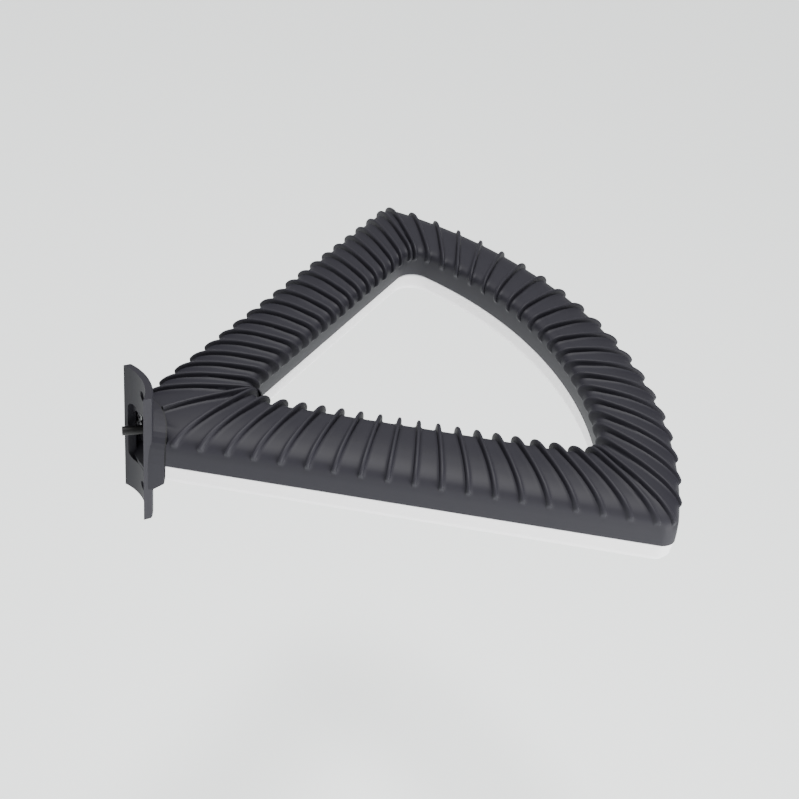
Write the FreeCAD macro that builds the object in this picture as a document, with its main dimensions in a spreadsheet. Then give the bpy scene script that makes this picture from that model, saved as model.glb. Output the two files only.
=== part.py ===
"""Pole-mounted LED ring luminaire: a sector-shaped die-cast ring with cooling ribs and an opal diffuser.

Frame: millimetres, +Z up, +X away from the pole. The origin is the centre of the two pole bolt holes on the
hollow face of the mounting saddle. The ring is symmetric about the XZ plane, and "near" pieces lie at -Y.
A point of the ring is given by its inset, the distance in from the sharp outer outline, and its height Z.
"""
import FreeCAD, Part
import Sketcher
import math
import os
from FreeCAD import Placement, Rotation, Vector

os.makedirs("parts", exist_ok=True)
doc = FreeCAD.newDocument("ring_luminaire")

# ---------------------------------------------------------------- driving dimensions
DIMENSIONS = [
    ("side_length", 600.0, "sharp length of each straight side of the sector"),
    ("half_angle", 33.8, "half of the angle between the straight sides, degrees"),
    ("arc_rise", 126.9, "rise of the curved side over its chord"),
    ("ring_width", 81.3, "width of the ring seen from above"),
    ("apex_offset", 51.3, "distance from the sharp outer apex to the saddle face"),
    ("outer_corner", 17.0, "radius of the outer corners"),
    ("inner_corner", 25.7, "radius of the inner corners"),
    ("inner_apex", 32.0, "radius of the inner apex"),
    ("wall", 4.0, "wall of the castings"),
    ("edge_drop", 3.0, "the ring's lower edge lies this far under the origin"),
    ("rib_width", 4.2, "width of a cooling rib"),
    ("ribs_per_side", 20.0, "rib divisions along each of the three sides"),
    ("rib_outer_first", 52.7, "the ribs' outer ends are counted from this far along a straight side"),
    ("rib_outer_step", 27.67, "distance between the outer ends of ribs on a straight side"),
    ("rib_inner_first", 113.9, "the ribs' inner ends are counted from this far along a straight side"),
    ("rib_inner_step", 20.99, "distance between the inner ends of ribs on a straight side"),
    ("corner_trim", 0.985, "the ribs on the corners stop at this share of the arc's radius"),
    ("seam_radius", 82.0, "radius of the joint face between bracket and ring"),
    ("seam_reach", 20.7, "where the joint face crosses the axis"),
    ("seam_gap", 1.2, "thickness of the joint gasket"),
    ("seam_wall", 5.0, "thickness of the end walls at the joint"),
    ("pole_radius", 55.3, "radius of the hollow face of the saddle"),
    ("saddle_thickness", 8.0, "thickness of the saddle plate"),
    ("saddle_half_width", 31.0, "half width of the saddle plate"),
    ("saddle_height", 160.0, "height of the saddle plate"),
    ("saddle_edge", 2.6, "rounding of the saddle's outer edges"),
    ("bolt_spacing", 120.0, "distance between the two pole bolt holes"),
    ("bolt_hole", 11.0, "diameter of the pole bolt holes"),
    ("window_width", 54.0, "width of the cable window"),
    ("window_low", -38.0, "lower edge of the cable window"),
    ("window_high", 36.0, "upper edge of the cable window"),
    ("window_corner", 8.0, "corner radius of the cable window"),
    ("neck_low", -38.0, "underside of the neck at the saddle"),
    ("neck_run", 9.7, "the neck's underside slopes up until here"),
    ("diffuser_low", -27.0, "underside of the diffuser"),
    ("diffuser_wall", 2.5, "wall of the diffuser"),
    ("gasket_thickness", 1.2, "thickness of the diffuser gasket"),
    ("running_gap", 0.3, "air left between the diffuser unit and the ring"),
    ("carrier_thickness", 2.5, "thickness of the light-source carrier"),
    ("carrier_inset", 8.3, "inset of the carrier's outer edge"),
    ("board_thickness", 1.6, "thickness of the light boards"),
    ("board_width", 41.0, "width of the light boards"),
    ("board_start", 140.0, "the straight boards start this far along the side"),
    ("board_length", 370.0, "length of a straight board"),
    ("arc_board_span", 22.0, "angle covered by a curved board, degrees"),
    ("arc_board_pitch", 22.4, "angle from one curved board to the next, degrees"),
    ("diode_size", 5.0, "side of a light-emitting diode package"),
    ("diode_height", 0.8, "height of a diode package"),
    ("diode_rows", 10.5, "distance of each diode row from the board's middle"),
    ("driver_length", 230.0, "length of a driver case"),
    ("driver_width", 30.0, "width of a driver case"),
    ("driver_height", 21.0, "height of a driver case"),
    ("driver_flange", 12.0, "length of each fixing flange of a driver"),
    ("flange_thickness", 1.5, "thickness of the driver's fixing flanges"),
    ("driver_inset", 43.0, "inset of the driver's middle line"),
    ("driver_station", 315.0, "distance of the driver's middle along the side"),
    ("surge_length", 50.0, "length of the surge protector"),
    ("surge_width", 28.0, "width of the surge protector"),
    ("surge_height", 22.0, "height of the surge protector"),
    ("terminal_length", 18.0, "length of the terminal block along X"),
    ("terminal_width", 34.0, "width of the terminal block"),
    ("terminal_height", 17.0, "height of the terminal block"),
    ("terminal_start", 82.0, "near face of the terminal block"),
    ("bulkhead_start", 58.0, "front face of the wall that carries the gland"),
    ("bulkhead_wall", 4.0, "thickness of that wall"),
    ("pocket_floor", 0.0, "floor of the wiring pocket"),
    ("gland_side", 4.0, "Y of the cable gland"),
    ("gland_up", 12.0, "Z of the cable gland"),
    ("gland_thread", 16.0, "thread diameter of the gland"),
    ("gland_flats", 20.0, "width across flats of the gland"),
    ("gland_hex", 4.0, "thickness of the gland's hexagon"),
    ("gland_nut_length", 7.0, "length of the gland's dome nut"),
    ("gland_tail", 6.0, "thread behind the bulkhead"),
    ("locknut_thickness", 4.0, "thickness of the gland's locknut"),
    ("lead_diameter", 9.8, "diameter of the supply lead"),
    ("core_diameter", 2.8, "diameter of one insulated core"),
    ("wire_diameter", 3.0, "diameter of the wire pairs inside the ring"),
    ("vent_side", -22.0, "Y of the breather vent"),
    ("vent_diameter", 12.0, "thread diameter of the breather vent"),
    ("vent_head", 16.0, "head diameter of the breather vent"),
    ("tab_length", 20.0, "length of a diffuser tab"),
    ("tab_thickness", 1.6, "thickness of a diffuser tab"),
    ("tab_inset", 5.8, "inset of a tab's outer face"),
    ("tab_top", 4.0, "top of a diffuser tab"),
    ("spring_sheet", 0.5, "thickness of a retaining spring"),
    ("spring_width", 12.0, "width of a retaining spring"),
    ("boss_diameter", 8.0, "diameter of a screw boss"),
    ("outer_boss_inset", 13.5, "inset of the outer screw bosses"),
    ("inner_boss_inset", 68.0, "inset of the inner screw bosses"),
]

sheet = doc.addObject("Spreadsheet::Sheet", "Sizes")
for row, (alias, number, meaning) in enumerate(DIMENSIONS, start=1):
    sheet.set(f"A{row}", meaning)
    sheet.set(f"B{row}", str(number))
    sheet.setAlias(f"B{row}", alias)
doc.recompute()


def size(alias):
    """The number held in the sheet under this alias."""
    return float(sheet.get(alias))


ANGLE = math.radians(size("half_angle"))
SIN = math.sin(ANGLE)
COS = math.cos(ANGLE)
APEX_X = -size("apex_offset")
WIDTH = size("ring_width")
EDGE_Z = -size("edge_drop")
CHORD_HALF = size("side_length") * SIN
ARC_RADIUS = (CHORD_HALF ** 2 + size("arc_rise") ** 2) / (2 * size("arc_rise"))
ARC_X = APEX_X + size("side_length") * COS + size("arc_rise") - ARC_RADIUS
SEAM_X = size("seam_reach") - size("seam_radius")
CARRIER_TOP = EDGE_Z + size("carrier_thickness")
BOARD_LOW = EDGE_Z - size("board_thickness")
NEAR = -1
FAR = 1
TALL = 200.0
LONG = 800.0

# ---------------------------------------------------------------- cross-sections, as (inset, height) points
OUTER_SECTION = [(0, EDGE_Z), (0.4, 8), (1, 17), (2.4, 24), (5.4, 29.3), (9.8, 32.8), (16, 35.3), (24, 37.2),
                 (32, 38.6), (40, 39.4), (48, 39.6)]
INNER_SECTION = [(WIDTH, EDGE_Z), (83.2, 8), (84.8, 18), (85.2, 28), (83.6, 33.8), (80, 36.6), (75, 37.8),
                 (66, 38.6), (57, 39.3), (48, 39.7), (40, 41)]
RIB_CREST = [(2.2, 24), (2.6, 30.5), (5.5, 34.6), (13, 40), (30.6, 44.2), (47.8, 45.3), (66, 44.3), (80.3, 42),
             (85.5, 39.5), (88.5, 35.5), (89, 28), (87, 20)]
RIB_ROOT = [(83, 20), (83, 28), (80.5, 33), (74, 35.3), (57, 36.6), (48, 37), (32, 36), (24, 34.6), (16, 32.5),
            (9.8, 29.8), (6, 24)]
DIFFUSER_OUTER = [(0.9, 0), (1.6, -15.5), (4, -21), (9, -22.5)]


# ---------------------------------------------------------------- helpers for the ring's geometry
def sector_wire(inset, corner, apex, z):
    """The sector outline at an inset from the sharp outer outline, with rounded corners and apex."""
    arc_radius = ARC_RADIUS - inset
    start_x = APEX_X + (inset + corner) / SIN
    reach = start_x - ARC_X
    run = -reach * COS + math.sqrt((reach * COS) ** 2 - reach ** 2 + (arc_radius - corner) ** 2)
    centre = Vector(start_x + run * COS, run * SIN, z)
    side_normal = Vector(-SIN, COS, 0)
    arc_normal = (centre - Vector(ARC_X, 0, z)).normalize()
    middle_normal = (side_normal + arc_normal).normalize()
    side_end = centre + side_normal * corner
    corner_middle = centre + middle_normal * corner
    arc_end = Vector(ARC_X, 0, z) + arc_normal * arc_radius
    if apex:
        apex_centre = Vector(APEX_X + (inset + apex) / SIN, 0, z)
        side_start = apex_centre + side_normal * apex
        tip = apex_centre - Vector(apex, 0, 0)
        edges = [Part.Arc(mirrored(side_start), tip, side_start).toShape()]
    else:
        side_start = Vector(APEX_X + inset / SIN, 0, z)
        edges = []
    edges.append(Part.LineSegment(side_start, side_end).toShape())
    edges.append(Part.Arc(side_end, corner_middle, arc_end).toShape())
    edges.append(Part.Arc(arc_end, Vector(ARC_X + arc_radius, 0, z), mirrored(arc_end)).toShape())
    edges.append(Part.Arc(mirrored(arc_end), mirrored(corner_middle), mirrored(side_end)).toShape())
    edges.append(Part.LineSegment(mirrored(side_end), mirrored(side_start)).toShape())
    return Part.Wire(edges)


def mirrored(point):
    return Vector(point.x, -point.y, point.z)


def shifted(section, inset, height):
    return [(point_inset + inset, z + height) for point_inset, z in section]


def outer_solid(section):
    """The solid inside the outer outline, lofted through a section that starts at its lowest point."""
    return Part.makeLoft([sector_wire(inset, size("outer_corner"), 0, z) for inset, z in section], True, True)


def opening_solid(section):
    """The solid that fills the ring's central opening. Its corners grow as the opening widens."""
    wires = []
    for inset, z in section:
        growth = max(WIDTH - inset, -10)
        wires.append(sector_wire(inset, size("inner_corner") + growth, size("inner_apex") + growth, z))
    return Part.makeLoft(wires, True, True)


def flat_ring(outer_inset, inner_inset, low, high):
    """A flat ring between two insets and two heights."""
    outer = outer_solid([(outer_inset, low), (outer_inset, high)])
    return outer.cut(opening_solid([(inner_inset, low), (inner_inset, high)]))


def seam_cylinder(radius):
    """A tall cylinder about the axis of the joint face."""
    return Part.makeCylinder(radius, 2 * TALL, Vector(SEAM_X, 0, -TALL))


def side_point(station, inset, hand, z=0.0):
    """The point at a distance along a straight side from the sharp apex, and an inset."""
    return Vector(APEX_X + station * COS + inset * SIN, hand * (station * SIN - inset * COS), z)


def arc_point(degrees, inset, z=0.0):
    angle = math.radians(degrees)
    radius = ARC_RADIUS - inset
    return Vector(ARC_X + radius * math.cos(angle), radius * math.sin(angle), z)


def block(x_range, y_range, z_range):
    return Part.makeBox(x_range[1] - x_range[0], y_range[1] - y_range[0], z_range[1] - z_range[0],
                        Vector(x_range[0], y_range[0], z_range[0]))


def prism(points, direction):
    return Part.Face(Part.makePolygon(points + points[:1])).extrude(direction)


def tube_path(points):
    """Straight runs joined by tangent arcs that are as large as the runs allow."""
    edges = []
    radii = []
    start = points[0]
    for before, corner, after in zip(points, points[1:], points[2:]):
        run_in = corner - before
        run_out = after - corner
        turn = run_in.getAngle(run_out)
        tangent = 0.45 * min(run_in.Length, run_out.Length)
        radius = tangent / math.tan(turn / 2)
        radii.append(round(radius, 1))
        unit_in = Vector(run_in).normalize()
        unit_out = Vector(run_out).normalize()
        arc_start = corner - unit_in * tangent
        arc_end = corner + unit_out * tangent
        inward = (unit_out - unit_in).normalize()
        sag = radius / math.cos(turn / 2) - radius
        edges.append(Part.LineSegment(start, arc_start).toShape())
        edges.append(Part.Arc(arc_start, corner + inward * sag, arc_end).toShape())
        start = arc_end
    edges.append(Part.LineSegment(start, points[-1]).toShape())
    return Part.Wire(edges), radii


def swept_tube(points, diameter):
    """A round solid along a route, with its volume checked against section times length."""
    path, radii = tube_path(points)
    profile = Part.Wire(Part.makeCircle(diameter / 2, points[0], points[1] - points[0]))
    solid = path.makePipeShell([profile], True, True)
    expected = math.pi * diameter ** 2 / 4 * path.Length
    print(f"tube: length {path.Length:.1f}, radii {radii}, volume ratio {solid.Volume / expected:.4f}")
    return solid


# ---------------------------------------------------------------- helpers for document objects
pieces = []


def keep(item, label):
    item.Label = label
    pieces.append(item)
    return item


def shaped(label, shape, placement=None):
    """A sub-part whose shape has no sketch or primitive form."""
    item = doc.addObject("Part::Feature", label)
    item.Shape = shape
    if placement:
        item.Placement = placement
    return keep(item, label)


def padded_body(name, length, width, height, holes=()):
    """A body with one centred rectangular pad on XY, and round holes along its length."""
    body = doc.addObject("PartDesign::Body", name)
    plane = next(item for item in body.Origin.OriginFeatures if item.Role == "XY_Plane")
    sketch = body.newObject("Sketcher::SketchObject", name + "_outline")
    sketch.AttachmentSupport = (plane, [""])
    sketch.MapMode = "FlatFace"
    x = size(length) / 2
    y = size(width) / 2
    corners = [Vector(-x, -y, 0), Vector(x, -y, 0), Vector(x, y, 0), Vector(-x, y, 0)]
    for start, end in zip(corners, corners[1:] + corners[:1]):
        sketch.addGeometry(Part.LineSegment(start, end), False)
    for index in range(4):
        sketch.addConstraint(Sketcher.Constraint("Coincident", index, 2, (index + 1) % 4, 1))
    for index in (0, 2):
        sketch.addConstraint(Sketcher.Constraint("Horizontal", index))
    for index in (1, 3):
        sketch.addConstraint(Sketcher.Constraint("Vertical", index))
    sketch.addConstraint(Sketcher.Constraint("Symmetric", 0, 1, 1, 2, -1, 1))
    bind(sketch, Sketcher.Constraint("DistanceX", 0, 1, 0, 2, 2 * x), "length", length)
    bind(sketch, Sketcher.Constraint("DistanceY", 1, 1, 1, 2, 2 * y), "width", width)
    for index, (hole_x, radius) in enumerate(holes):
        circle = sketch.addGeometry(Part.Circle(Vector(hole_x, 0, 0), Vector(0, 0, 1), radius), False)
        sketch.addConstraint(Sketcher.Constraint("PointOnObject", circle, 3, -1))
        sketch.addConstraint(Sketcher.Constraint("DistanceX", -1, 1, circle, 3, hole_x))
        sketch.addConstraint(Sketcher.Constraint("Radius", circle, radius))
    pad = body.newObject("PartDesign::Pad", name + "_pad")
    pad.Profile = sketch
    pad.setExpression("Length", "Sizes." + height)
    sketch.Visibility = False
    return body


def bind(sketch, constraint, name, alias):
    index = sketch.addConstraint(constraint)
    sketch.renameConstraint(index, name)
    sketch.setExpression("Constraints." + name, "Sizes." + alias)


def cylinder(name, radius, height, start=0.0):
    """A cylinder along +Z whose radius and height are expressions."""
    item = doc.addObject("Part::Cylinder", name)
    item.setExpression("Radius", radius)
    item.setExpression("Height", height)
    item.Placement = Placement(Vector(0, 0, start), Rotation())
    return item


def hexagon(name, flats, height, start=0.0):
    item = doc.addObject("Part::Prism", name)
    item.Polygon = 6
    item.setExpression("Circumradius", f"({flats}) / sqrt(3)")
    item.setExpression("Height", height)
    item.Placement = Placement(Vector(0, 0, start), Rotation())
    return item


def joined(name, base, tool):
    item = doc.addObject("Part::Fuse", name)
    item.Base = base
    item.Tool = tool
    return item


def drilled(name, base, tool):
    item = doc.addObject("Part::Cut", name)
    item.Base = base
    item.Tool = tool
    return item


def screw(name, thread, length, head, head_height, socket):
    """A socket-head screw along -Z: the head sits on Z = 0 and the shank goes down."""
    shank = cylinder(name + "_shank", f"{thread / 2}", f"{length}", -length)
    cap = cylinder(name + "_cap", f"{head / 2}", f"{head_height}")
    recess = hexagon(name + "_socket", f"{socket}", f"{head_height}", head_height * 0.45)
    return drilled(name, joined(name + "_blank", shank, cap), recess)


def group(label, master, placements):
    """Copies of one finished piece, kept together as separate solids of one sub-part."""
    doc.recompute()
    copies = []
    for placement in placements:
        copy = master.Shape.copy()
        copy.Placement = placement.multiply(copy.Placement)
        copies.append(copy)
    return shaped(label, Part.makeCompound(copies))


def turned(point, axis, degrees):
    return Placement(point, Rotation(axis, degrees))


UP = Vector(0, 0, 1)
ALONG_X = Rotation(Vector(0, 1, 0), 90)

# ---------------------------------------------------------------- the ribbed ring housing
wall = size("wall")
outer_blank = outer_solid(OUTER_SECTION)
ring_blank = outer_blank.cut(opening_solid(INNER_SECTION))
cavity_outer = outer_solid(shifted(OUTER_SECTION, wall, -wall))
cavity = cavity_outer.cut(opening_solid(shifted(INNER_SECTION, -wall, -wall)))
bulkhead_end = size("bulkhead_start") + size("bulkhead_wall")
seam_inner = size("seam_radius") - size("seam_gap") / 2
seam_outer = size("seam_radius") + size("seam_gap") / 2
pass_through = block((-10, size("bulkhead_start") - 2), (-19, 19), (0, 27))

SCREW_STATIONS = (170.0, 300.0, 430.0)
SCREW_ANGLES = (-24.0, 0.0, 24.0)
boss_points = []
for inset in (size("outer_boss_inset"), size("inner_boss_inset")):
    boss_points += [side_point(station, inset, hand) for hand in (NEAR, FAR) for station in SCREW_STATIONS]
    boss_points += [arc_point(degrees, inset) for degrees in SCREW_ANGLES]


def rib_ends():
    """The plan points where each rib starts on the outer outline and ends on the inner one."""
    count = int(size("ribs_per_side"))
    outer_first = size("rib_outer_first")
    outer_step = size("rib_outer_step")
    inner_first = size("rib_inner_first")
    inner_step = size("rib_inner_step")
    ends = []
    for hand in (NEAR, FAR):
        for number in range(1, count):
            outer = side_point(outer_first + outer_step * number, 0, hand)
            inner = side_point(inner_first + inner_step * number, WIDTH, hand)
            ends.append((outer, inner))
    outer_half = math.degrees(math.asin(CHORD_HALF / ARC_RADIUS))
    inner_x = APEX_X + WIDTH / SIN
    reach = inner_x - ARC_X
    inner_radius = ARC_RADIUS - WIDTH
    run = -reach * COS + math.sqrt((reach * COS) ** 2 - reach ** 2 + inner_radius ** 2)
    inner_half = math.degrees(math.atan2(run * SIN, reach + run * COS))
    for number in range(count + 1):
        share = 1 - 2 * number / count
        trim = size("corner_trim") if abs(share) == 1 else 1.0
        outer = arc_point(outer_half * share, 0)
        inner = arc_point(inner_half * share, WIDTH)
        ends.append((Vector(ARC_X, 0, 0) + (outer - Vector(ARC_X, 0, 0)) * trim, inner))
    return ends


def rib(outer, inner, thickness):
    """One rib: a band that follows the ring's section from the outer wall over the top to the inner wall."""
    span = inner - outer
    points = [outer + span * (inset / WIDTH) + UP * z for inset, z in RIB_CREST + RIB_ROOT]
    across = UP.cross(span).normalize()
    return prism([point - across * (thickness / 2) for point in points], across * thickness)


def axis_rib(thickness):
    """The rib on the axis of symmetry, from the joint face to the inner apex."""
    start = size("seam_reach") + 1.5
    crest = [(start, 42.5), (34, 44.5), (50, 45), (87, 45), (104, 42.5), (112, 40.5), (117, 37), (120, 31), (121, 24),
             (116, 20)]
    root = [(113, 20), (112, 26), (106, 33), (87, 36), (60, 36.5), (40, 36), (start, 33)]
    points = [Vector(x, -thickness / 2, z) for x, z in crest + root]
    return prism(points, Vector(0, thickness, 0))


def screw_boss(point):
    boss = Part.makeCylinder(size("boss_diameter") / 2, 60, Vector(point.x, point.y, CARRIER_TOP))
    return boss.common(ring_blank)


pocket_zone = block((size("seam_reach") - 15, size("bulkhead_start")), (-60, 60), (size("pocket_floor"), 60))
pocket = cavity.common(pocket_zone).cut(seam_cylinder(seam_outer + size("seam_wall")))
cavity_zone = block((bulkhead_end, LONG), (-LONG, LONG), (-50, TALL))
shell = ring_blank.cut(seam_cylinder(seam_outer)).cut(cavity.common(cavity_zone)).cut(pocket)
EARTH_POINT = Vector(bulkhead_end, 32, 12)
EARTH_THREAD = 5.0
JOINT_ANGLE = 21.0
JOINT_HEIGHTS = (3.5, 14.5)
joint_places = []
for degrees in (-JOINT_ANGLE, JOINT_ANGLE):
    direction = Vector(math.cos(math.radians(degrees)), math.sin(math.radians(degrees)), 0)
    for height in JOINT_HEIGHTS:
        joint_places.append((Vector(SEAM_X, 0, height), direction))
joint_boss_end = 98.0
bosses = [screw_boss(point) for point in boss_points]
for origin, direction in joint_places:
    boss = Part.makeCylinder(6, joint_boss_end - seam_outer - 1, origin + direction * (seam_outer + 1), direction)
    bosses.append(boss.common(outer_blank))
housing = shell.multiFuse(bosses).cut(pass_through)
housing = housing.cut(Part.makeCompound(
    [Part.makeCylinder(2.05, 16, Vector(point.x, point.y, EDGE_Z - 1)) for point in boss_points]
    + [Part.makeCylinder(3.05, 15, origin + direction * (seam_outer - 1), direction)
       for origin, direction in joint_places]
    + [Part.makeCylinder(size("gland_thread") / 2 + 0.1, 20,
                         Vector(size("bulkhead_start") - 8, size("gland_side"), size("gland_up")), Vector(1, 0, 0)),
       Part.makeCylinder(size("vent_diameter") / 2 + 0.1, 20,
                         Vector(size("bulkhead_start") - 8, size("vent_side"), size("gland_up")), Vector(1, 0, 0)),
       Part.makeCylinder(EARTH_THREAD / 2 + 0.05, 2 * size("bulkhead_wall"),
                         EARTH_POINT - Vector(1.5 * size("bulkhead_wall"), 0, 0), Vector(1, 0, 0))]))
ribs = [rib(outer, inner, size("rib_width")) for outer, inner in rib_ends()] + [axis_rib(size("rib_width"))]
housing = housing.multiFuse(ribs).removeSplitter()
shaped("housing", housing)

# ---------------------------------------------------------------- the pole bracket: saddle plate and hollow neck
pole_axis = Vector(-size("pole_radius"), 0, -TALL)
pole = Part.makeCylinder(size("pole_radius"), 2 * TALL, pole_axis)
saddle_round = Part.makeCylinder(size("pole_radius") + size("saddle_thickness"), 2 * TALL, pole_axis)
half_width = size("saddle_half_width")
half_height = size("saddle_height") / 2
saddle = saddle_round.common(block((-20, 20), (-half_width, half_width), (-half_height, half_height))).cut(pole)
rounded = []
for edge in saddle.Edges:
    middle = edge.valueAt((edge.FirstParameter + edge.LastParameter) / 2)
    distance = math.hypot(middle.x + size("pole_radius"), middle.y)
    if distance > size("pole_radius") + size("saddle_thickness") - 0.1:
        rounded.append(edge)
saddle = saddle.makeFillet(size("saddle_edge"), rounded)
window = block((-20, 20), (-size("window_width") / 2, size("window_width") / 2),
               (size("window_low"), size("window_high")))
long_edges = [edge for edge in window.Edges if abs(edge.tangentAt(edge.FirstParameter).x) > 0.9]
window = window.makeFillet(size("window_corner"), long_edges)
bolt_holes = [Part.makeCylinder(size("bolt_hole") / 2, 60, Vector(-30, 0, side * size("bolt_spacing") / 2),
                                Vector(1, 0, 0)) for side in (-1, 1)]
saddle = saddle.cut(window).cut(Part.makeCompound(bolt_holes))


def neck_solid(inset, low, reach):
    """The neck's lower part: between the planes of the ring's sides, with a rising underside."""
    def half(x):
        return (x - APEX_X) * SIN / COS - inset / COS
    plan = [Vector(-6, -half(-6), low), Vector(30, -half(30), low),
            Vector(30, half(30), low), Vector(-6, half(-6), low)]
    lower = prism(plan, Vector(0, 0, EDGE_Z + 1 - low))
    run = size("neck_run")
    top = EDGE_Z + 2
    rise = size("diffuser_low") - size("neck_low")
    profile = [Vector(-6, -60, low), Vector(-1, -60, low), Vector(run, -60, low + rise), Vector(30, -60, low + rise),
               Vector(30, -60, top), Vector(-6, -60, top)]
    lower = lower.common(prism(profile, Vector(0, 120, 0)))
    return lower.common(seam_cylinder(reach))


upper_zone = block((-6, 60), (-60, 60), (EDGE_Z, TALL)).common(seam_cylinder(seam_inner))
neck = outer_blank.common(upper_zone).fuse(neck_solid(0, size("neck_low"), seam_inner))
neck_hollow = cavity_outer.common(block((-8, 60), (-60, 60), (EDGE_Z, TALL)))
neck_hollow = neck_hollow.common(seam_cylinder(seam_inner - size("seam_wall")))
neck_hollow = neck_hollow.fuse(neck_solid(wall, size("neck_low") + wall, seam_inner - size("seam_wall")))
neck = neck.cut(neck_hollow).cut(pole).cut(pass_through)
neck = neck.cut(window.common(block((-20, -1), (-60, 60), (-TALL, TALL))))
spot_face = seam_inner - size("seam_wall") + 0.05
neck = neck.cut(Part.makeCompound(
    [Part.makeCylinder(3.3, 20, origin + direction * (seam_inner - 10), direction)
     for origin, direction in joint_places]
    + [Part.makeCylinder(5.3, 8, origin + direction * (spot_face - 8), direction)
       for origin, direction in joint_places]))
shaped("pole_bracket", saddle.fuse(neck).removeSplitter())

# ---------------------------------------------------------------- the joint gasket and its screws
gasket_recess = 0.8
gasket = outer_solid(shifted(OUTER_SECTION, gasket_recess, -gasket_recess)).common(seam_cylinder(seam_outer))
gasket = gasket.cut(seam_cylinder(seam_inner)).cut(pass_through).cut(opening_solid(INNER_SECTION))
gasket = gasket.common(block((0, 30), (-60, 60), (EDGE_Z, TALL)))
gasket = gasket.cut(Part.makeCompound(
    [Part.makeCylinder(3.3, 20, origin + direction * (seam_inner - 8), direction) for origin, direction in joint_places]))
shaped("bracket_gasket", gasket)
joint_screw = screw("joint_screw", 6.0, 18.0, 10.0, 6.0, 5.0)
joint_seat = seam_inner - size("seam_wall")
group("bracket_screws", joint_screw,
      [Placement(origin + direction * joint_seat, Rotation(UP, direction * -1)) for origin, direction in joint_places])

# ---------------------------------------------------------------- the carrier plate under the cavity
carrier = flat_ring(size("carrier_inset"), WIDTH - size("carrier_inset"), EDGE_Z, CARRIER_TOP)
carrier = carrier.common(block((bulkhead_end + 1, LONG), (-LONG, LONG), (-10, 10)))
BOARD_STATIONS = (-175.0, -87.5, 0.0, 87.5, 175.0)
ARC_SCREW_SHIFTS = (-9.0, 0.0, 9.0)
ARC_BOARDS = (("led_board_arc_near", -1), ("led_board_arc_mid", 0), ("led_board_arc_far", 1))
board_middle = size("board_start") + size("board_length") / 2
board_inset = WIDTH / 2
board_screw_points = [side_point(board_middle + shift, board_inset, hand) for hand in (NEAR, FAR)
                      for shift in BOARD_STATIONS]
board_screw_points += [arc_point(step * size("arc_board_pitch") + shift, board_inset)
                       for _, step in ARC_BOARDS for shift in ARC_SCREW_SHIFTS]
driver_end = size("driver_length") / 2 + size("driver_flange") / 2
driver_screw_points = [side_point(size("driver_station") + end * driver_end, size("driver_inset"), hand)
                       for hand in (NEAR, FAR) for end in (-1, 1)]
wire_slots = [side_point(size("driver_station") + 150, 24, hand) for hand in (NEAR, FAR)]


def holes(points, radius):
    return [Part.makeCylinder(radius, 20, Vector(point.x, point.y, -10)) for point in points]


carrier = carrier.cut(Part.makeCompound(
    holes(boss_points, 2.3) + holes(board_screw_points, 1.55) + holes(driver_screw_points, 2.05)
    + holes(wire_slots, 3.0)))
shaped("led_carrier", carrier)
carrier_screw = screw("carrier_screw", 4.0, 12.0, 7.0, 2.2, 2.5)
group("carrier_screws", carrier_screw,
      [turned(Vector(point.x, point.y, EDGE_Z), Vector(1, 0, 0), 180) for point in boss_points])

# ---------------------------------------------------------------- light boards and diodes
for label, hand in (("led_board_near", NEAR), ("led_board_far", FAR)):
    board = padded_body(label, "board_length", "board_width", "board_thickness",
                        [(shift, 1.8) for shift in BOARD_STATIONS])
    board.Placement = turned(side_point(board_middle, board_inset, hand, BOARD_LOW), UP,
                             hand * size("half_angle"))
    keep(board, label)


def arc_plate(inset_out, inset_in, from_angle, to_angle, low, thickness):
    """A flat piece of the curved side, between two insets and two angles."""
    middle = (from_angle + to_angle) / 2
    outer = Part.Arc(arc_point(from_angle, inset_out, low), arc_point(middle, inset_out, low),
                     arc_point(to_angle, inset_out, low))
    inner = Part.Arc(arc_point(to_angle, inset_in, low), arc_point(middle, inset_in, low),
                     arc_point(from_angle, inset_in, low))
    ends = [Part.LineSegment(arc_point(to_angle, inset_out, low), arc_point(to_angle, inset_in, low)),
            Part.LineSegment(arc_point(from_angle, inset_in, low), arc_point(from_angle, inset_out, low))]
    wire = Part.Wire([outer.toShape(), ends[0].toShape(), inner.toShape(), ends[1].toShape()])
    return Part.Face(wire).extrude(Vector(0, 0, thickness))


for label, step in ARC_BOARDS:
    middle = step * size("arc_board_pitch")
    half_span = size("arc_board_span") / 2
    board = arc_plate(board_inset - size("board_width") / 2, board_inset + size("board_width") / 2,
                      middle - half_span, middle + half_span, BOARD_LOW, size("board_thickness"))
    points = [arc_point(middle + shift, board_inset) for shift in ARC_SCREW_SHIFTS]
    shaped(label, board.cut(Part.makeCompound(holes(points, 1.8))))
board_screw = screw("board_screw", 3.0, 4.0, 5.5, 1.8, 2.0)
group("board_screws", board_screw,
      [turned(Vector(point.x, point.y, BOARD_LOW), Vector(1, 0, 0), 180) for point in board_screw_points])

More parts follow.
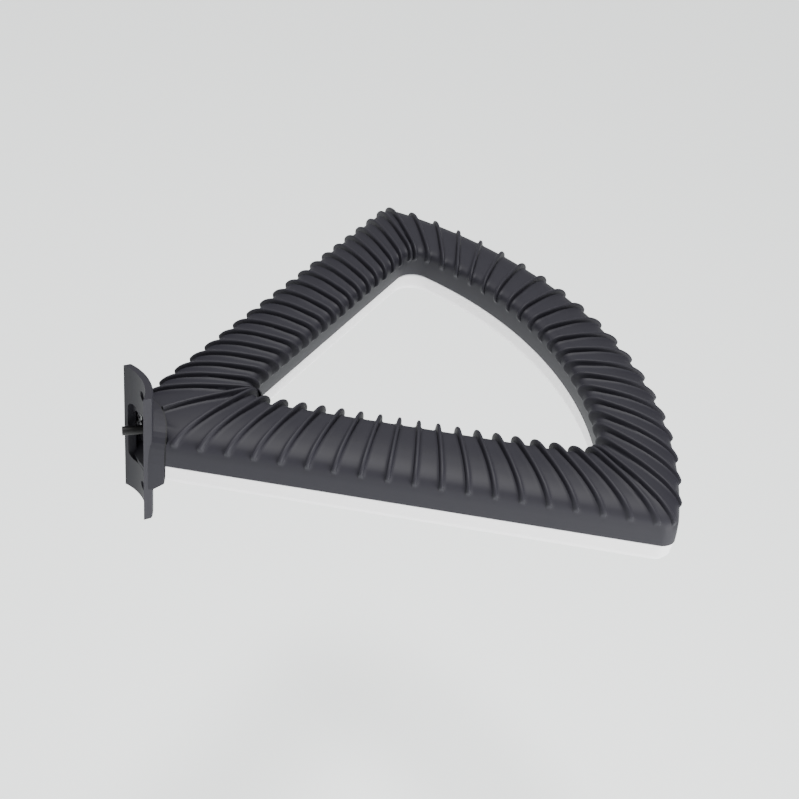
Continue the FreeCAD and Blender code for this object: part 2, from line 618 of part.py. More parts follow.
diode = doc.addObject("Part::Box", "diode")
for side, alias in (("Length", "diode_size"), ("Width", "diode_size"), ("Height", "diode_height")):
    diode.setExpression(side, "Sizes." + alias)
half_diode = Vector(size("diode_size") / 2, size("diode_size") / 2, size("diode_height"))
DIODES_PER_ROW = 13
DIODE_PITCH = 28.0
for label, hand in (("leds_near", NEAR), ("leds_far", FAR)):
    places = []
    for row in (-1, 1):
        for number in range(DIODES_PER_ROW):
            station = board_middle + (number - (DIODES_PER_ROW - 1) / 2) * DIODE_PITCH
            inset = board_inset + row * size("diode_rows")
            frame = turned(side_point(station, inset, hand, BOARD_LOW), UP, hand * size("half_angle"))
            places.append(frame.multiply(Placement(half_diode * -1, Rotation())))
    group(label, diode, places)
ARC_DIODES = 21
ARC_DIODE_STEP = 3.1
places = []
for row in (-1, 1):
    for number in range(ARC_DIODES):
        degrees = (number - (ARC_DIODES - 1) / 2) * ARC_DIODE_STEP
        frame = turned(arc_point(degrees, board_inset + row * size("diode_rows"), BOARD_LOW), UP, degrees)
        places.append(frame.multiply(Placement(half_diode * -1, Rotation())))
group("leds_arc", diode, places)

# ---------------------------------------------------------------- drivers, surge protector, terminals, earth screw
DRIVER_FLOOR = CARRIER_TOP
for label, hand in (("driver_near", NEAR), ("driver_far", FAR)):
    case = padded_body(label + "_case", "driver_length", "driver_width", "driver_height")
    base = doc.addObject("Part::Box", label + "_base")
    base.setExpression("Length", "Sizes.driver_length + 2 * Sizes.driver_flange")
    base.setExpression("Width", "Sizes.driver_width")
    base.setExpression("Height", "Sizes.flange_thickness")
    base.Placement = Placement(Vector(-size("driver_length") / 2 - size("driver_flange"), -size("driver_width") / 2, 0),
                               Rotation())
    slot_low = cylinder(label + "_slot_low", "2.3", "20", -5)
    slot_low.Placement = Placement(Vector(-driver_end, 0, -5), Rotation())
    slot_high = cylinder(label + "_slot_high", "2.3", "20", -5)
    slot_high.Placement = Placement(Vector(driver_end, 0, -5), Rotation())
    blank = joined(label + "_blank", case, base)
    driver = drilled(label, drilled(label + "_first", blank, slot_low), slot_high)
    driver.Placement = turned(side_point(size("driver_station"), size("driver_inset"), hand, DRIVER_FLOOR), UP,
                              hand * size("half_angle"))
    keep(driver, label)
driver_screw = screw("driver_screw", 4.0, 3.9, 7.0, 2.2, 2.5)
seat = DRIVER_FLOOR + size("flange_thickness")
group("driver_screws", driver_screw,
      [Placement(Vector(point.x, point.y, seat), Rotation()) for point in driver_screw_points])

surge = padded_body("surge_protector", "surge_length", "surge_width", "surge_height")
SURGE_ANGLE = -14.0
surge.Placement = turned(arc_point(SURGE_ANGLE, size("driver_inset"), DRIVER_FLOOR), UP, SURGE_ANGLE + 90)
keep(surge, "surge_protector")

terminal = padded_body("terminal_block", "terminal_length", "terminal_width", "terminal_height")
terminal.Placement = Placement(
    Vector(size("terminal_start") + size("terminal_length") / 2, 0, DRIVER_FLOOR), Rotation())
keep(terminal, "terminal_block")

# ---------------------------------------------------------------- cable gland, vent and supply lead
gland_frame = Vector(0, size("gland_side"), size("gland_up"))


def on_gland_axis(item, x, label):
    item.Placement = Placement(gland_frame + Vector(x, 0, 0), ALONG_X)
    return keep(item, label)


bulkhead = size("bulkhead_start")
bore = "(Sizes.lead_diameter + 0.5) / 2"
thread = cylinder("gland_thread_rod", "Sizes.gland_thread / 2",
                  "Sizes.gland_hex + Sizes.bulkhead_wall + Sizes.gland_tail")
gland_blank = joined("gland_blank", hexagon("gland_hexagon", "Sizes.gland_flats", "Sizes.gland_hex"), thread)
gland = drilled("gland_body", gland_blank, cylinder("gland_bore", bore, "60", -10))
on_gland_axis(gland, bulkhead - size("gland_hex"), "gland_body")

dome = doc.addObject("Part::Cone", "gland_dome")
dome.setExpression("Radius1", "Sizes.lead_diameter / 2 + 2.2")
dome.setExpression("Radius2", "Sizes.gland_flats / 2 - 1")
dome.setExpression("Height", "3")
grip = hexagon("gland_grip", "Sizes.gland_flats - 1", "Sizes.gland_nut_length - 3", 3)
nut_blank = joined("nut_blank", dome, grip)
nut = drilled("gland_nut", nut_blank, cylinder("nut_bore", "Sizes.lead_diameter / 2 + 1.6", "60", -10))
on_gland_axis(nut, bulkhead - size("gland_hex") - size("gland_nut_length"), "gland_nut")
seal = drilled("gland_seal", cylinder("seal_rod", "Sizes.lead_diameter / 2 + 1.5", "Sizes.gland_nut_length - 2"),
               cylinder("seal_bore", "Sizes.lead_diameter / 2 + 0.5", "60", -10))
on_gland_axis(seal, bulkhead - size("gland_hex") - size("gland_nut_length") + 2, "gland_seal")
locknut = drilled("gland_locknut", hexagon("locknut_hexagon", "Sizes.gland_flats", "Sizes.locknut_thickness"),
                  cylinder("locknut_bore", "Sizes.gland_thread / 2 + 0.05", "60", -10))
on_gland_axis(locknut, bulkhead_end, "gland_locknut")

vent_head = cylinder("vent_cap", "Sizes.vent_head / 2", "5", -5)
vent = joined("breather_vent", vent_head, cylinder("vent_thread", "Sizes.vent_diameter / 2", "9"))
vent.Placement = Placement(Vector(bulkhead, size("vent_side"), size("gland_up")), ALONG_X)
keep(vent, "breather_vent")

LEAD_ROUTE = [Vector(70, 4, 12), Vector(44, 4, 12), Vector(25, 8, 8.6), Vector(5, 15.1, 3.6), Vector(-14.9, 22, 2.1)]
shaped("supply_lead", swept_tube(LEAD_ROUTE, size("lead_diameter")))

CORE_SPREAD = 3.2
cores = []
for offset in (-1, 0, 1):
    start = gland_frame + Vector(LEAD_ROUTE[0].x, offset * CORE_SPREAD, 0)
    core_length = size("terminal_start") - start.x
    cores.append(Part.makeCylinder(size("core_diameter") / 2, core_length, start, Vector(1, 0, 0)))
shaped("lead_cores", Part.makeCompound(cores))

WIRE_UP = 8.0
wires = []
for hand in (NEAR, FAR):
    driver_entry = size("driver_station") - size("driver_length") / 2
    route = [Vector(size("terminal_start") + 9, hand * size("terminal_width") / 2, WIRE_UP),
             Vector(size("terminal_start") + 9, hand * 31, WIRE_UP),
             side_point(driver_entry - 22, 44, hand, WIRE_UP + 1),
             side_point(driver_entry, size("driver_inset"), hand, WIRE_UP)]
    wires.append(swept_tube(route, size("wire_diameter")))
shaped("driver_leads", Part.makeCompound(wires))

wires = []
for hand in (NEAR, FAR):
    driver_exit = size("driver_station") + size("driver_length") / 2
    route = [side_point(driver_exit, size("driver_inset"), hand, WIRE_UP + 4),
             side_point(driver_exit + 20, 40, hand, WIRE_UP + 4),
             side_point(driver_exit + 33, 26, hand, WIRE_UP),
             side_point(driver_exit + 35, 24, hand, EDGE_Z + 0.3)]
    wires.append(swept_tube(route, size("wire_diameter")))
shaped("led_leads", Part.makeCompound(wires))

earth = screw("earth_screw", EARTH_THREAD, size("bulkhead_wall"), 9.0, 3.0, 3.0)
earth.Placement = turned(EARTH_POINT, Vector(0, 1, 0), 90)
keep(earth, "earth_screw")

# ---------------------------------------------------------------- diffuser, its gasket and retaining springs
rim_top = EDGE_Z - size("running_gap") - size("gasket_thickness")
tray_outer = shifted(DIFFUSER_OUTER, 0, rim_top)
tray_inner = [(WIDTH - inset, z) for inset, z in tray_outer]
tray_wall = size("diffuser_wall")
tray_floor = rim_top + DIFFUSER_OUTER[-1][1] + tray_wall
hollow_outer = shifted([(0.9, 1), (1.6, -15.5)], tray_wall, rim_top) + [(7.5, tray_floor)]
hollow_inner = [(WIDTH - inset, z) for inset, z in hollow_outer]


def ring_loft(outer_section, inner_section):
    return outer_solid(outer_section[::-1]).cut(opening_solid(inner_section[::-1]))


tray = ring_loft(tray_outer, tray_inner).cut(seam_cylinder(seam_outer))
tray_hollow = ring_loft(hollow_outer, hollow_inner).cut(seam_cylinder(seam_outer + tray_wall))
TAB_STATIONS = (235.0, 365.0, 500.0)
TAB_ANGLES = (-12.0, 12.0)
tab_frames = [turned(side_point(station, 0, hand), UP, hand * size("half_angle") + (180 if hand > 0 else 0))
              for hand in (NEAR, FAR) for station in TAB_STATIONS]
tab_frames += [turned(arc_point(degrees, 0), UP, degrees + 90) for degrees in TAB_ANGLES]
tab = Part.makeBox(size("tab_length"), size("tab_thickness"), size("tab_top") - rim_top + 4,
                   Vector(-size("tab_length") / 2, size("tab_inset"), rim_top - 4))
foot = Part.makeBox(size("tab_length"), size("tab_inset") - 1, 4,
                    Vector(-size("tab_length") / 2, 2, rim_top - 4))
spring = Part.makeBox(size("spring_width"), 7, size("spring_sheet"),
                      Vector(-size("spring_width") / 2, size("carrier_inset") - 0.6, CARRIER_TOP))
spring = spring.fuse(Part.makeBox(size("spring_width"), size("spring_sheet"), 6,
                                  Vector(-size("spring_width") / 2, size("carrier_inset") - 0.6, CARRIER_TOP)))


def placed(shape, frame):
    copy = shape.copy()
    copy.Placement = frame
    return copy


tabs = [placed(tab.fuse(foot), frame) for frame in tab_frames]
shaped("diffuser", tray.cut(tray_hollow).multiFuse(tabs).removeSplitter())
gasket_low = rim_top
gasket_high = rim_top + size("gasket_thickness")
seal_outer = flat_ring(1.3, 3.9, gasket_low, gasket_high)
seal_inner = flat_ring(WIDTH - 3.9, WIDTH - 1.3, gasket_low, gasket_high)
seals = [strip.cut(seam_cylinder(seam_outer + 0.5)) for strip in (seal_outer, seal_inner)]
shaped("diffuser_gasket", Part.makeCompound(seals))
shaped("diffuser_springs", Part.makeCompound([placed(spring, frame) for frame in tab_frames]))

# ---------------------------------------------------------------- checks and export
doc.recompute()
for item in doc.Objects:
    bad = [state for state in item.State if state in ("Invalid", "Error")]
    if bad:
        raise RuntimeError(f"{item.Name} is {bad}")
for item in pieces:
    if item.Shape.isNull() or not item.Shape.isValid():
        raise RuntimeError(f"{item.Label} has no valid shape")
for item in pieces:
    item.Shape.exportStep(f"parts/{item.Label}.step")
    box = item.Shape.BoundBox
    print(f"{item.Label}: {len(item.Shape.Solids)} solids, volume {item.Shape.Volume:.0f}, "
          f"x {box.XMin:.1f} {box.XMax:.1f}, y {box.YMin:.1f} {box.YMax:.1f}, z {box.ZMin:.1f} {box.ZMax:.1f}")
print(len(pieces), "sub-parts")
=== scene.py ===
import bpy
import math
import numpy as np
from mathutils import Matrix, Vector


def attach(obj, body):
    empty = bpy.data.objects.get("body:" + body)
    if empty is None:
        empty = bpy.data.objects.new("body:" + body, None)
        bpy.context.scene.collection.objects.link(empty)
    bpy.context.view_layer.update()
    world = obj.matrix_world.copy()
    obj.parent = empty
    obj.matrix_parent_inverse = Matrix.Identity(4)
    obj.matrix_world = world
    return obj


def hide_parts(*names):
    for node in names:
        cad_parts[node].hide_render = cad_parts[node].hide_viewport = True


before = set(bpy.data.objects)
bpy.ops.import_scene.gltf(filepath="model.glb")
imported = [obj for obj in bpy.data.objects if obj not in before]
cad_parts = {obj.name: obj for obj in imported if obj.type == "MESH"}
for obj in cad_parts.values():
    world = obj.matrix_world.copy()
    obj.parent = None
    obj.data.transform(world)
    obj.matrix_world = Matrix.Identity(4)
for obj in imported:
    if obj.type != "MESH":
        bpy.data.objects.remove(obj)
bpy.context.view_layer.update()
MM = 0.001
TINY = 1e-6
HOUSING_SHARP = math.radians(40)
CARRIED_SHARP = math.radians(32)

# ---------------------------------------------------------------- camera
CAMERA_PLACE = (-0.3484, -1.0573, 0.9136)
CAMERA_RIGHT = Vector((0.88565, -0.45161, 0.10803)).normalized()
CAMERA_BACK = Vector((-0.42012, -0.68021, 0.60068)).normalized()
SENSOR_WIDTH = 36.0
CAMERA_LENS = 61.15
camera_data = bpy.data.cameras.new("camera")
camera_data.sensor_width = SENSOR_WIDTH
camera_data.lens = CAMERA_LENS
camera_data.clip_end = 50.0
camera = bpy.data.objects.new("camera", camera_data)
bpy.context.scene.collection.objects.link(camera)
camera_up = CAMERA_BACK.cross(CAMERA_RIGHT).normalized()
columns = Matrix((CAMERA_RIGHT, camera_up, CAMERA_BACK)).transposed()
camera.matrix_world = Matrix.Translation(CAMERA_PLACE) @ columns.to_4x4()
bpy.context.scene.camera = camera


# ---------------------------------------------------------------- small helpers
def link(thing):
    bpy.context.scene.collection.objects.link(thing)
    return thing


def mesh_object(name, points, faces, sharp_angle):
    """A smooth mesh object from points in millimetres, with edges kept sharp above an angle."""
    data = bpy.data.meshes.new(name)
    data.from_pydata([tuple(point) for point in np.asarray(points) * MM], [], faces)
    data.validate()
    data.update()
    thing = link(bpy.data.objects.new(name, data))
    for polygon in data.polygons:
        polygon.use_smooth = True
    data.set_sharp_from_angle(angle=sharp_angle)
    return thing


# ---------------------------------------------------------------- materials
def srgb(red, green, blue):
    """A linear colour from a display colour of 0 to 255."""
    linear = []
    for level in (red, green, blue):
        share = level / 255
        linear.append(share / 12.92 if share <= 0.04045 else ((share + 0.055) / 1.055) ** 2.4)
    return (*linear, 1.0)


DRIFT_SCALE, DRIFT_DETAIL = 14.0, 4.0
GRAIN_DETAIL = 3.0
SMOOTHER, ROUGHER = 0.05, 0.07
GRAIN_STRENGTH = 0.35


def tinted(colour, factor):
    return tuple(min(1.0, channel * factor) for channel in colour[:3]) + (1.0,)


def finish_material(name, colour, rough, metallic=0.0, grain=900.0, grain_depth=0.00002, blotch=0.06,
                    coat=0.0, subsurface=0.0, glow=0.0, shine=0.5):
    """A surface with fine grain, slow colour drift and uneven roughness, all procedural."""
    material = bpy.data.materials.new(name)
    material.use_nodes = True
    nodes = material.node_tree.nodes
    links = material.node_tree.links
    shader = nodes["Principled BSDF"]
    place = nodes.new("ShaderNodeTexCoord")
    drift = nodes.new("ShaderNodeTexNoise")
    drift.inputs["Scale"].default_value = DRIFT_SCALE
    drift.inputs["Detail"].default_value = DRIFT_DETAIL
    links.new(place.outputs["Object"], drift.inputs["Vector"])
    tint = nodes.new("ShaderNodeMix")
    tint.data_type = "RGBA"
    tint.inputs["A"].default_value = tinted(colour, 1 - blotch)
    tint.inputs["B"].default_value = tinted(colour, 1 + blotch)
    links.new(drift.outputs["Fac"], tint.inputs["Factor"])
    links.new(tint.outputs["Result"], shader.inputs["Base Color"])
    fine = nodes.new("ShaderNodeTexNoise")
    fine.inputs["Scale"].default_value = grain
    fine.inputs["Detail"].default_value = GRAIN_DETAIL
    links.new(place.outputs["Object"], fine.inputs["Vector"])
    spread = nodes.new("ShaderNodeMapRange")
    spread.inputs["To Min"].default_value = max(0.02, rough - SMOOTHER)
    spread.inputs["To Max"].default_value = min(1.0, rough + ROUGHER)
    links.new(fine.outputs["Fac"], spread.inputs["Value"])
    links.new(spread.outputs["Result"], shader.inputs["Roughness"])
    relief = nodes.new("ShaderNodeBump")
    relief.inputs["Strength"].default_value = GRAIN_STRENGTH
    relief.inputs["Distance"].default_value = grain_depth
    links.new(fine.outputs["Fac"], relief.inputs["Height"])
    links.new(relief.outputs["Normal"], shader.inputs["Normal"])
    shader.inputs["Metallic"].default_value = metallic
    shader.inputs["Coat Weight"].default_value = coat
    shader.inputs["Specular IOR Level"].default_value = shine
    shader.inputs["Emission Color"].default_value = colour
    shader.inputs["Emission Strength"].default_value = glow
    if subsurface:
        shader.inputs["Subsurface Weight"].default_value = subsurface
        shader.inputs["Subsurface Radius"].default_value = (0.004, 0.004, 0.004)
    return material


PAINT = finish_material("charcoal_paint", srgb(36, 35, 42), 0.6, shine=0.3, grain=1500.0,
                        grain_depth=0.00003, blotch=0.03)
# The diffuser's glow of 0.3 is painted light: the lamp is off, and the glow stands in for light falling on the
# opal to make it bright white.
OPAL_PAINTED_GLOW = finish_material("opal_acrylic", srgb(250, 248, 250), 0.42, grain=500.0, blotch=0.01,
                       subsurface=0.35, glow=0.3)
RUBBER = finish_material("black_rubber", srgb(24, 24, 26), 0.7, grain=700.0, grain_depth=0.00006)
LEAD = finish_material("lead_rubber", srgb(9, 9, 10), 0.55, grain=900.0, grain_depth=0.00004)
STEEL = finish_material("stainless_steel", srgb(190, 190, 192), 0.3, metallic=1.0, grain=1200.0)
SPRING = finish_material("spring_steel", srgb(150, 152, 158), 0.26, metallic=1.0, grain=1600.0)
BARE = finish_material("bare_aluminium", srgb(196, 198, 202), 0.38, metallic=1.0, grain=700.0)
BOARD = finish_material("board_white", srgb(236, 238, 236), 0.4, grain=600.0)
DIODE = finish_material("diode_yellow", srgb(232, 202, 92), 0.3, grain=2500.0, coat=0.4)
DRIVER = finish_material("driver_case", srgb(226, 228, 230), 0.42, grain=800.0)
SURGE = finish_material("surge_case", srgb(60, 62, 66), 0.48, grain=800.0)
TERMINAL = finish_material("terminal_plastic", srgb(214, 212, 204), 0.5, grain=900.0)
BRASS = finish_material("earth_brass", srgb(196, 164, 88), 0.3, metallic=1.0, grain=1200.0)
GLAND = finish_material("gland_plastic", srgb(30, 31, 33), 0.5, grain=1000.0, grain_depth=0.00005)
CORES = finish_material("core_insulation", srgb(96, 70, 52), 0.45, grain=900.0)
SILICONE = finish_material("silicone", srgb(200, 202, 204), 0.62, grain=500.0, grain_depth=0.00005)

NODE_MATERIALS = {
    "pole_bracket": PAINT, "bracket_gasket": RUBBER, "bracket_screws": STEEL, "led_carrier": BARE,
    "carrier_screws": STEEL, "led_board_near": BOARD, "led_board_far": BOARD, "led_board_arc_near": BOARD,
    "led_board_arc_mid": BOARD, "led_board_arc_far": BOARD, "board_screws": STEEL, "leds_near": DIODE,
    "leds_far": DIODE, "leds_arc": DIODE, "driver_near": DRIVER, "driver_far": DRIVER, "driver_screws": STEEL,
    "surge_protector": SURGE, "terminal_block": TERMINAL, "earth_screw": BRASS, "gland_body": GLAND,
    "gland_nut": GLAND, "gland_seal": RUBBER, "gland_locknut": GLAND, "breather_vent": GLAND,
    "lead_cores": CORES, "driver_leads": CORES, "led_leads": CORES, "diffuser": OPAL_PAINTED_GLOW,
    "diffuser_gasket": SILICONE, "diffuser_springs": SPRING,
}
for node_name, material in NODE_MATERIALS.items():
    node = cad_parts[node_name]
    node.data.materials.clear()
    node.data.materials.append(material)
    for polygon in node.data.polygons:
        polygon.use_smooth = True
        polygon.material_index = 0
    node.data.set_sharp_from_angle(angle=CARRIED_SHARP)

# ---------------------------------------------------------------- plan of the ring, in millimetres
SIDE_LENGTH = 600.0
HALF_ANGLE = math.radians(33.8)
ARC_RISE = 126.9
WIDTH = 81.3
APEX_X = -51.3
SIN = math.sin(HALF_ANGLE)
COS = math.cos(HALF_ANGLE)
CHORD_HALF = SIDE_LENGTH * SIN
ARC_RADIUS = (CHORD_HALF ** 2 + ARC_RISE ** 2) / (2 * ARC_RISE)
ARC_X = APEX_X + SIDE_LENGTH * COS + ARC_RISE - ARC_RADIUS
SEAM_X = -61.3
SEAM_OUTER = 82.6
OUTER_APEX = 41.0
OUTER_CORNER = 17.0
INNER_APEX = 30.0
INNER_CORNER = 24.0
RIB_OUTER_FIRST, RIB_OUTER_STEP = 52.7, 27.67
RIB_INNER_FIRST, RIB_INNER_STEP = 113.9, 20.99
SIDE_RIBS = 20
ARC_RIBS = 10


def arc_points(centre_x, centre_y, radius, start, end, count):
    angles = np.linspace(start, end, count)
    return np.column_stack([centre_x + radius * np.cos(angles), centre_y + radius * np.sin(angles)])


CORNER_STEPS = 120
ARC_STEPS = 400


def half_outline(inset, corner, apex):
    """The outline at an inset, from the axis at the apex round the far side to the axis at the arc."""
    radius = ARC_RADIUS - inset
    start_x = APEX_X + (inset + corner) / SIN
    reach = start_x - ARC_X
    run = -reach * COS + math.sqrt((reach * COS) ** 2 - reach ** 2 + (radius - corner) ** 2)
    corner_x = start_x + run * COS
    corner_y = run * SIN
    apex_x = APEX_X + (inset + apex) / SIN
    side_angle = math.atan2(COS, -SIN)
    arc_angle = math.atan2(corner_y, corner_x - ARC_X)
    return np.vstack([
        arc_points(apex_x, 0, apex, math.pi, side_angle, CORNER_STEPS),
        arc_points(corner_x, corner_y, corner, side_angle, arc_angle, CORNER_STEPS),
        arc_points(ARC_X, 0, radius, arc_angle, 0, ARC_STEPS)])


def side_point(station, inset):
    return np.array([APEX_X + station * COS + inset * SIN, station * SIN - inset * COS])


def corner_angle(inset):
    """The angle, about the arc's centre, of the sharp corner at an inset."""
    reach = APEX_X + inset / SIN - ARC_X
    run = -reach * COS + math.sqrt((reach * COS) ** 2 - reach ** 2 + (ARC_RADIUS - inset) ** 2)
    return math.atan2(run * SIN, reach + run * COS)


def rib_lines():
    """The plan line of each rib of the far half, from the axis at the apex to the axis at the arc."""
    lines = [(np.array([APEX_X, 0.0]), np.array([APEX_X + WIDTH / SIN, 0.0]))]
    for number in range(1, SIDE_RIBS):
        lines.append((side_point(RIB_OUTER_FIRST + RIB_OUTER_STEP * number, 0),
                      side_point(RIB_INNER_FIRST + RIB_INNER_STEP * number, WIDTH)))
    outer_angle = corner_angle(0)
    inner_angle = corner_angle(WIDTH)
    for number in range(ARC_RIBS + 1):
        share = 1 - number / ARC_RIBS
        outer = outer_angle * share
        inner = inner_angle * share
        lines.append((np.array([ARC_X + ARC_RADIUS * math.cos(outer), ARC_RADIUS * math.sin(outer)]),
                      np.array([ARC_X + (ARC_RADIUS - WIDTH) * math.cos(inner),
                                (ARC_RADIUS - WIDTH) * math.sin(inner)])))
    return lines


def lengths_along(points):
    return np.concatenate([[0.0], np.cumsum(np.linalg.norm(np.diff(points, axis=0), axis=1))])


def crossing(points, lengths, start, end, wanted):
    """How far along the outline the line from start to end crosses it, nearest to the wanted point."""
    direction = (end - start) / np.linalg.norm(end - start)
    offset = points - start
    side = offset[:, 0] * direction[1] - offset[:, 1] * direction[0]
    best = None
    for index in np.nonzero(side[:-1] * side[1:] <= 0)[0]:
        share = side[index] / (side[index] - side[index + 1] + 1e-12)
        place = points[index] + (points[index + 1] - points[index]) * share
        distance = np.linalg.norm(place - wanted)
        if best is None or distance < best[0]:
            best = (distance, lengths[index] + (lengths[index + 1] - lengths[index]) * share)
    return best[1]


def along(points, lengths, where):
    return np.column_stack([np.interp(where, lengths, points[:, 0]), np.interp(where, lengths, points[:, 1])])


# ---------------------------------------------------------------- section of the ring, as (inset, height) points
EDGE_Z = -3.0
SURFACE = [(0, EDGE_Z), (0.4, 8), (1.2, 17), (3.2, 23.5), (6.8, 28.4), (11.5, 31.6), (17, 34), (24, 36),
           (32, 37.4), (40, 38.3), (48, 38.5), (57, 38.1), (66, 37.4), (75, 36.6), (80, 35.4), (83.6, 32.8),
           (85.2, 28.5), (85, 20), (83.4, 8), (81.3, EDGE_Z)]
SECTION_STEPS = 96
SPAN_STEPS = 24
SKIN_STRIDE = 3
RIB_HEIGHT = 6.8
# The share of RIB_HEIGHT at some insets, and the heights between which a rib's nose and tail form.
RIB_SHARES = ((0, 0.62), (8, 0.74), (20, 0.92), (48, 0.99), (66, 1.12), (90, 1.2))
NOSE_START, NOSE_FULL = 21.5, 25.0
FADE_START, FADE_END = 30.0, 19.0
WALL = 4.0


def between(first, second, first_knot, second_knot, t):
    """The point at t on the straight line through two points that stand at two knots."""
    gap = second_knot - first_knot
    return (second_knot - t) / gap * first + (t - first_knot) / gap * second


def spline_through(points, count):
    """Evenly spaced points on a smooth curve through the given ones (Catmull-Rom, centripetal spacing)."""
    points = np.array(points, float)
    padded = np.vstack([2 * points[0] - points[1], points, 2 * points[-1] - points[-2]])
    curve = []
    for index in range(1, len(padded) - 2):
        before, start, end, after = padded[index - 1:index + 3]
        knots = [0.0]
        for first, second in ((before, start), (start, end), (end, after)):
            knots.append(knots[-1] + math.sqrt(np.linalg.norm(second - first)))
        for share in np.linspace(0, 1, SPAN_STEPS, endpoint=False):
            t = knots[1] + (knots[2] - knots[1]) * share
            first_leg = between(before, start, knots[0], knots[1], t)
            middle_leg = between(start, end, knots[1], knots[2], t)
            last_leg = between(end, after, knots[2], knots[3], t)
            early = between(first_leg, middle_leg, knots[0], knots[2], t)
            late = between(middle_leg, last_leg, knots[1], knots[3], t)
            curve.append(between(early, late, knots[1], knots[2], t))
    curve.append(padded[-2])
    curve = np.array(curve)
    lengths = lengths_along(curve)
    return along(curve, lengths, np.linspace(0, lengths[-1], count))


def smooth_step(low, high, value):
    share = np.clip((value - low) / (high - low), 0, 1)
    return share * share * (3 - 2 * share)


section = spline_through(SURFACE, SECTION_STEPS)
tangent = np.gradient(section, axis=0)
tangent /= np.linalg.norm(tangent, axis=1)[:, None]
normal = np.column_stack([-tangent[:, 1], tangent[:, 0]])
outer_part = section[:, 0] < WIDTH / 2
envelope = np.where(outer_part, np.sqrt(smooth_step(NOSE_START, NOSE_FULL, section[:, 1])),
                    smooth_step(FADE_END, FADE_START, section[:, 1]))
envelope = envelope * np.interp(section[:, 0], *np.transpose(RIB_SHARES))
inner_skin = section - normal * WALL
inner_skin[:, 1] = np.maximum(inner_skin[:, 1], EDGE_Z)
inner_skin = inner_skin[::-SKIN_STRIDE]
profile = np.vstack([section, inner_skin])
profile_normal = np.vstack([normal, np.zeros_like(inner_skin)])
profile_envelope = np.concatenate([envelope, np.zeros(len(inner_skin))])

# ---------------------------------------------------------------- the ribbed housing
outer_line = half_outline(0, OUTER_CORNER, OUTER_APEX)
inner_line = half_outline(WIDTH, INNER_CORNER, INNER_APEX)
outer_lengths = lengths_along(outer_line)
inner_lengths = lengths_along(inner_line)
LINES = rib_lines()
outer_at = [0.0]
inner_at = [0.0]
for outer_end, inner_end in LINES[1:-1]:
    outer_at.append(crossing(outer_line, outer_lengths, outer_end, inner_end, outer_end))
    inner_at.append(crossing(inner_line, inner_lengths, outer_end, inner_end, inner_end))
outer_at = np.array(outer_at + [outer_lengths[-1]])
inner_at = np.array(inner_at + [inner_lengths[-1]])
NEAR_RIB = np.array([0, 0.7, 1.3, 1.7, 2.0, 2.25, 2.45, 2.7, 3.1, 3.7, 4.6, 6.0, 8.0])
NEAR_SHARE = 0.44
RIB_HALF = 2.6
CROWN_BULGE, CROWN_FALL = 2.6, 0.42
CROWN_SHARE, SKIRT_SHARE = 0.8, 0.2
SKIRT_START, SKIRT_END = 1.6, 5.2


def rib_shape(distance):
    """Height of a rib, as a share of the full height, at a distance from its middle line."""
    crown = np.clip(1 - (np.abs(distance) / RIB_HALF) ** CROWN_BULGE, 0, 1) ** CROWN_FALL
    skirt = 1 - smooth_step(SKIRT_START, SKIRT_END, np.abs(distance))
    return CROWN_SHARE * crown + SKIRT_SHARE * skirt


def ring_columns():
    """Places along the far half, graded towards each rib, as (rib, side, step)."""
    columns = []
    last = len(LINES) - 1
    for rib in range(last + 1):
        steps = len(NEAR_RIB)
        if rib > 0:
            columns += [(rib, -1, step) for step in range(steps - 1, 0, -1)]
        columns.append((rib, 0, 0))
        if rib < last:
            columns += [(rib, 1, step) for step in range(1, steps + 1)]
    return columns


def half_grid():
    """Points of the far half: one column per place round the ring, one row per place on the section."""
    columns = ring_columns()
    insets = profile[:, 0]
    share = insets / WIDTH
    grid = np.zeros((len(columns), len(profile), 3))
    numbers = np.arange(len(LINES))
    rib_outer = along(outer_line, outer_lengths, outer_at)
    rib_inner = along(inner_line, inner_lengths, inner_at)
    for index, (rib, side, step) in enumerate(columns):
        other = rib + side if side else rib
        start = rib_outer[rib] + (rib_inner[rib] - rib_outer[rib]) * share[:, None]
        finish = rib_outer[other] + (rib_inner[other] - rib_outer[other]) * share[:, None]
        pitch = np.linalg.norm(finish - start, axis=1)
        if side == 0:
            fraction = np.zeros(len(share))
        elif step == len(NEAR_RIB):
            fraction = np.full(len(share), 0.5)
        else:
            reach = np.minimum(1.0, NEAR_SHARE * pitch / NEAR_RIB[-1])
            fraction = NEAR_RIB[step] * reach / np.maximum(pitch, TINY)
        where = rib + side * fraction
        outer = along(outer_line, outer_lengths, np.interp(where, numbers, outer_at))
        inner = along(inner_line, inner_lengths, np.interp(where, numbers, inner_at))
        plan = outer + (inner - outer) * share[:, None]
        inward = (inner - outer) / np.linalg.norm(inner - outer, axis=1)[:, None]
        line = rib_inner[rib] - rib_outer[rib]
        line = line / np.linalg.norm(line)
        away = plan - rib_outer[rib]
        distance = away[:, 0] * line[1] - away[:, 1] * line[0]
        lift = RIB_HEIGHT * profile_envelope * rib_shape(distance)
        grid[index, :, 0] = plan[:, 0] + lift * profile_normal[:, 0] * inward[:, 0]
        grid[index, :, 1] = plan[:, 1] + lift * profile_normal[:, 0] * inward[:, 1]
        grid[index, :, 2] = profile[:, 1] + lift * profile_normal[:, 1]
    return grid


def closed_grid(grid):
    """Faces of a grid that is closed both ways."""
    across, down = grid.shape[:2]
    first = np.arange(across)[:, None]
    second = np.arange(down)[None, :]
    next_first = (first + 1) % across
    next_second = (second + 1) % down
    faces = np.stack([first * down + second, first * down + next_second, next_first * down + next_second,
                      next_first * down + second], axis=-1)
    return faces.reshape(-1, 4).tolist()


far_half = half_grid()
far_half[0, :, 1] = 0.0
far_half[-1, :, 1] = 0.0
near_half = far_half[1:-1][::-1].copy()
near_half[:, :, 1] *= -1
ring = np.concatenate([far_half, near_half])
flat = ring.reshape(-1, 3)
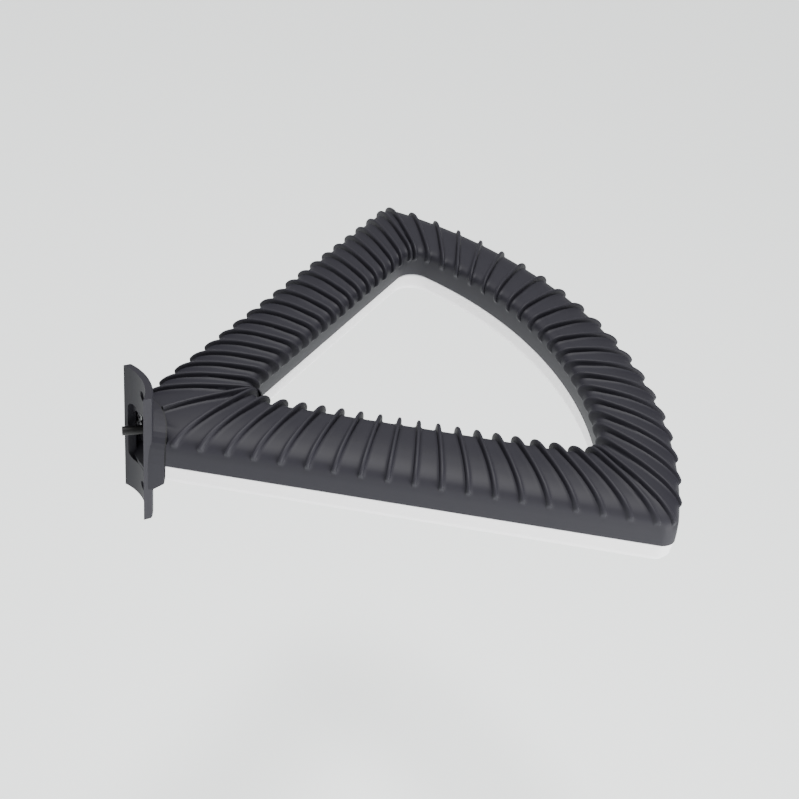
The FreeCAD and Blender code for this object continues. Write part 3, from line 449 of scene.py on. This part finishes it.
# Points past the joint face are pulled back onto it.
offset_x = flat[:, 0] - SEAM_X
from_seam = np.hypot(offset_x, flat[:, 1])
inside = from_seam < SEAM_OUTER
scale = SEAM_OUTER / np.maximum(from_seam[inside], TINY)
flat[inside, 0] = SEAM_X + offset_x[inside] * scale
flat[inside, 1] *= scale
housing = mesh_object("housing_casting", flat, closed_grid(ring), HOUSING_SHARP)
housing.data.materials.append(PAINT)
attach(housing, "luminaire")
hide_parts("housing")

# ---------------------------------------------------------------- supply lead
LEAD_DIAMETER = 0.0098
LEAD_ROUTE = ((0.070, 0.004, 0.012), (0.044, 0.004, 0.012), (0.025, 0.008, 0.0086), (0.005, 0.0151, 0.0036),
              (-0.0149, 0.022, 0.0021))
lead_curve = bpy.data.curves.new("supply_lead_curve", "CURVE")
lead_curve.dimensions = "3D"
lead_spline = lead_curve.splines.new("NURBS")
lead_spline.points.add(len(LEAD_ROUTE) - 1)
for point, place in zip(lead_spline.points, LEAD_ROUTE):
    point.co = (*place, 1.0)
lead_spline.order_u = 3
lead_spline.use_endpoint_u = True
lead_curve.bevel_depth = LEAD_DIAMETER / 2
lead_curve.bevel_resolution = 8
lead_curve.resolution_u = 24
lead_curve.use_fill_caps = True
lead = link(bpy.data.objects.new("supply_lead_rubber", lead_curve))
lead_curve.materials.append(LEAD)
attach(lead, "luminaire")
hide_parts("supply_lead")

# ---------------------------------------------------------------- floor and light
FLOOR_Z = -0.95
FLOOR_LOW = -9
FLOOR_HIGH_X = 11
FLOOR_HIGH_Y = 13
FLOOR_CORNERS = [(FLOOR_LOW, FLOOR_LOW, FLOOR_Z), (FLOOR_HIGH_X, FLOOR_LOW, FLOOR_Z),
                 (FLOOR_HIGH_X, FLOOR_HIGH_Y, FLOOR_Z), (FLOOR_LOW, FLOOR_HIGH_Y, FLOOR_Z)]
PAPER = finish_material("floor_paper", srgb(226, 229, 228), 0.9, grain=40.0, blotch=0.002, glow=1.6)
WORLD_STRENGTH = 0.4
LIGHT_TARGET = (0.25, 0, 0)
floor_data = bpy.data.meshes.new("floor")
floor_data.from_pydata(FLOOR_CORNERS, [], [(0, 1, 2, 3)])
floor = link(bpy.data.objects.new("floor", floor_data))
floor_data.materials.append(PAPER)

world = bpy.data.worlds.new("studio")
bpy.context.scene.world = world
world.use_nodes = True
background = world.node_tree.nodes["Background"]
background.inputs["Color"].default_value = (1.0, 1.0, 1.0, 1.0)
background.inputs["Strength"].default_value = WORLD_STRENGTH


def area_light(name, place, width, height, power):
    """A rectangular lamp of a width, height and power that points at LIGHT_TARGET."""
    data = bpy.data.lights.new(name, "AREA")
    data.shape = "RECTANGLE"
    data.size = width
    data.size_y = height
    data.energy = power
    thing = link(bpy.data.objects.new(name, data))
    thing.location = place
    thing.rotation_euler = (Vector(LIGHT_TARGET) - Vector(place)).to_track_quat("-Z", "Y").to_euler()
    return thing


area_light("key", (0.35, 0.0, 2.4), 0.6, 0.6, 85.0)
area_light("front", (0.8, -2.4, -0.1), 2.2, 0.5, 84.0)
